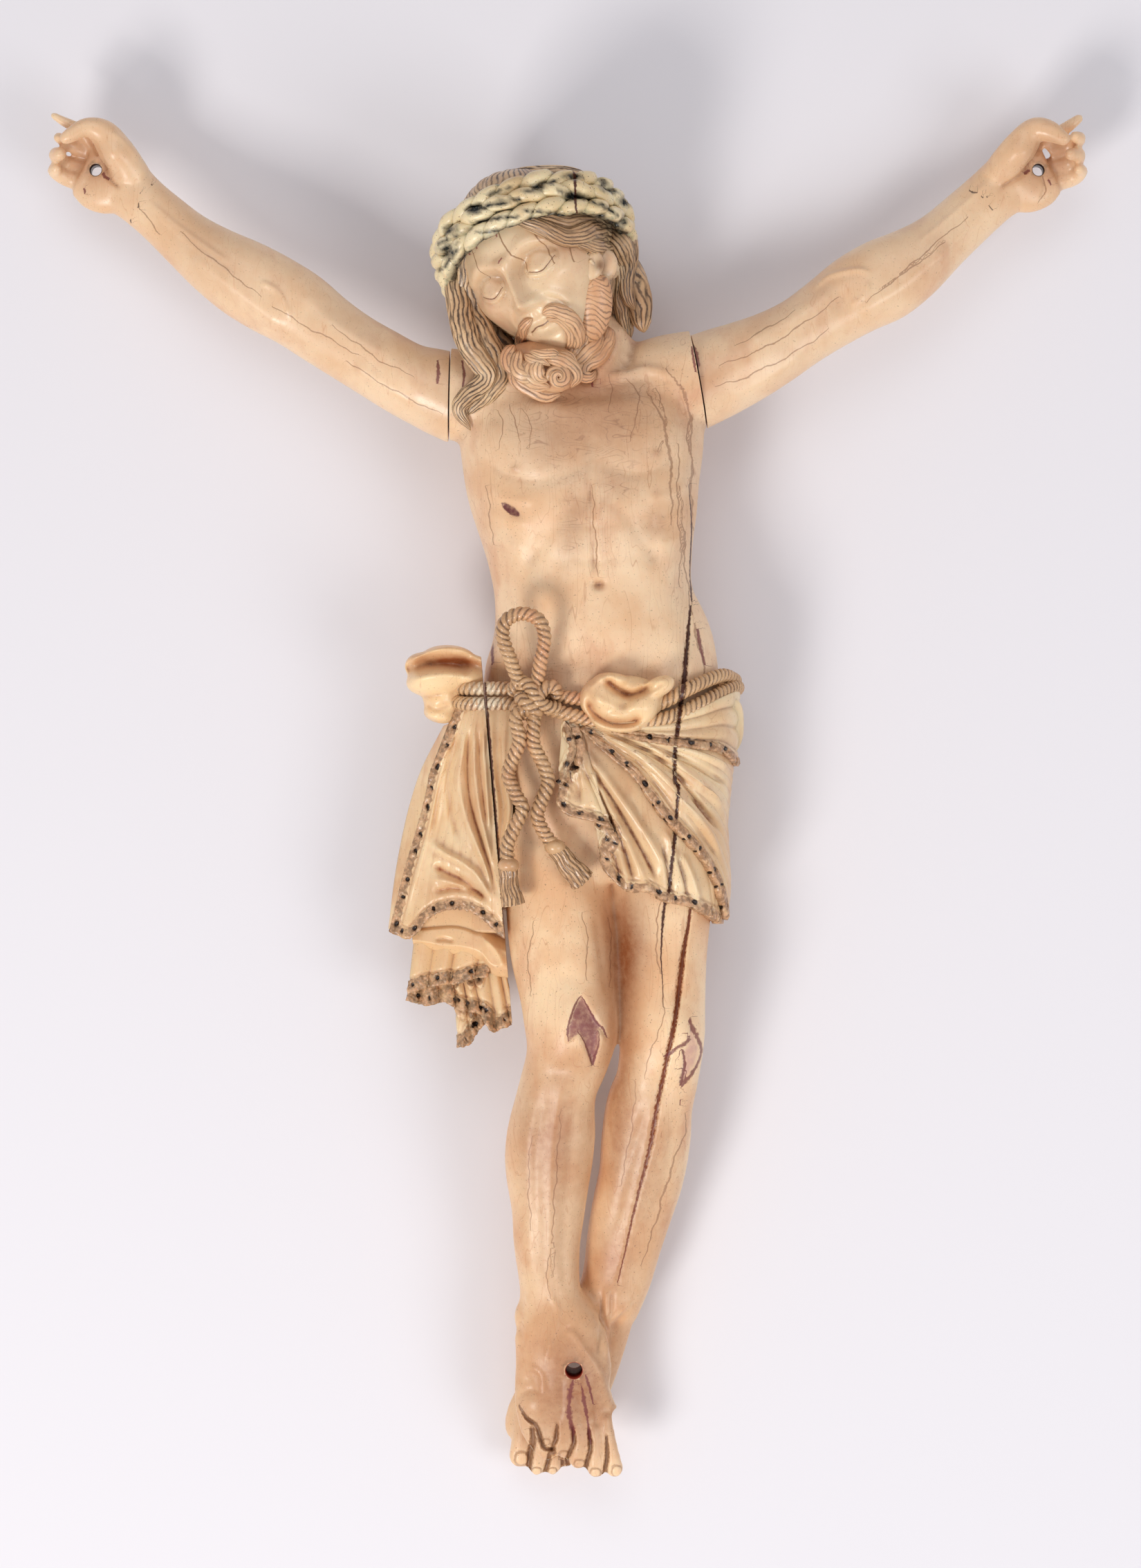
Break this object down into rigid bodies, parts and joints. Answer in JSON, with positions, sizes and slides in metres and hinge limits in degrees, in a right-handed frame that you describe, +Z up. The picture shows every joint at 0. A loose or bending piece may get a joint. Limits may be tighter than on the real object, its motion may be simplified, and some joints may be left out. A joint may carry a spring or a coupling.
{
  "type": "crucifix corpus figure",
  "caption": "Carved ivory corpus figure from a crucifix: raised arms, bowed head in a braided crown, roped loincloth with a hanging end, and crossed feet with a nail hole.",
  "frame": {"origin": "on the flat of the back where the figure rests, under the middle of the hips", "axes": "+X towards the figure's left hand, +Y towards the head, +Z up out of the chest"},
  "size_m": [0.3342, 0.4365, 0.0796],
  "materials": {
    "ivory_body": "polished aged ivory, warm cream with brown staining in the hollows",
    "ivory_arms": "polished aged ivory with long growth lines",
    "ivory_cloth": "polished ivory drapery with a brown gilt hem and drilled eyelets"
  },
  "bodies": {
    "root": {"corpus_body": "ivory_body", "right_arm": "ivory_arms", "left_arm": "ivory_arms", "loincloth_fall": "ivory_cloth"}
  },
  "joints": []
}
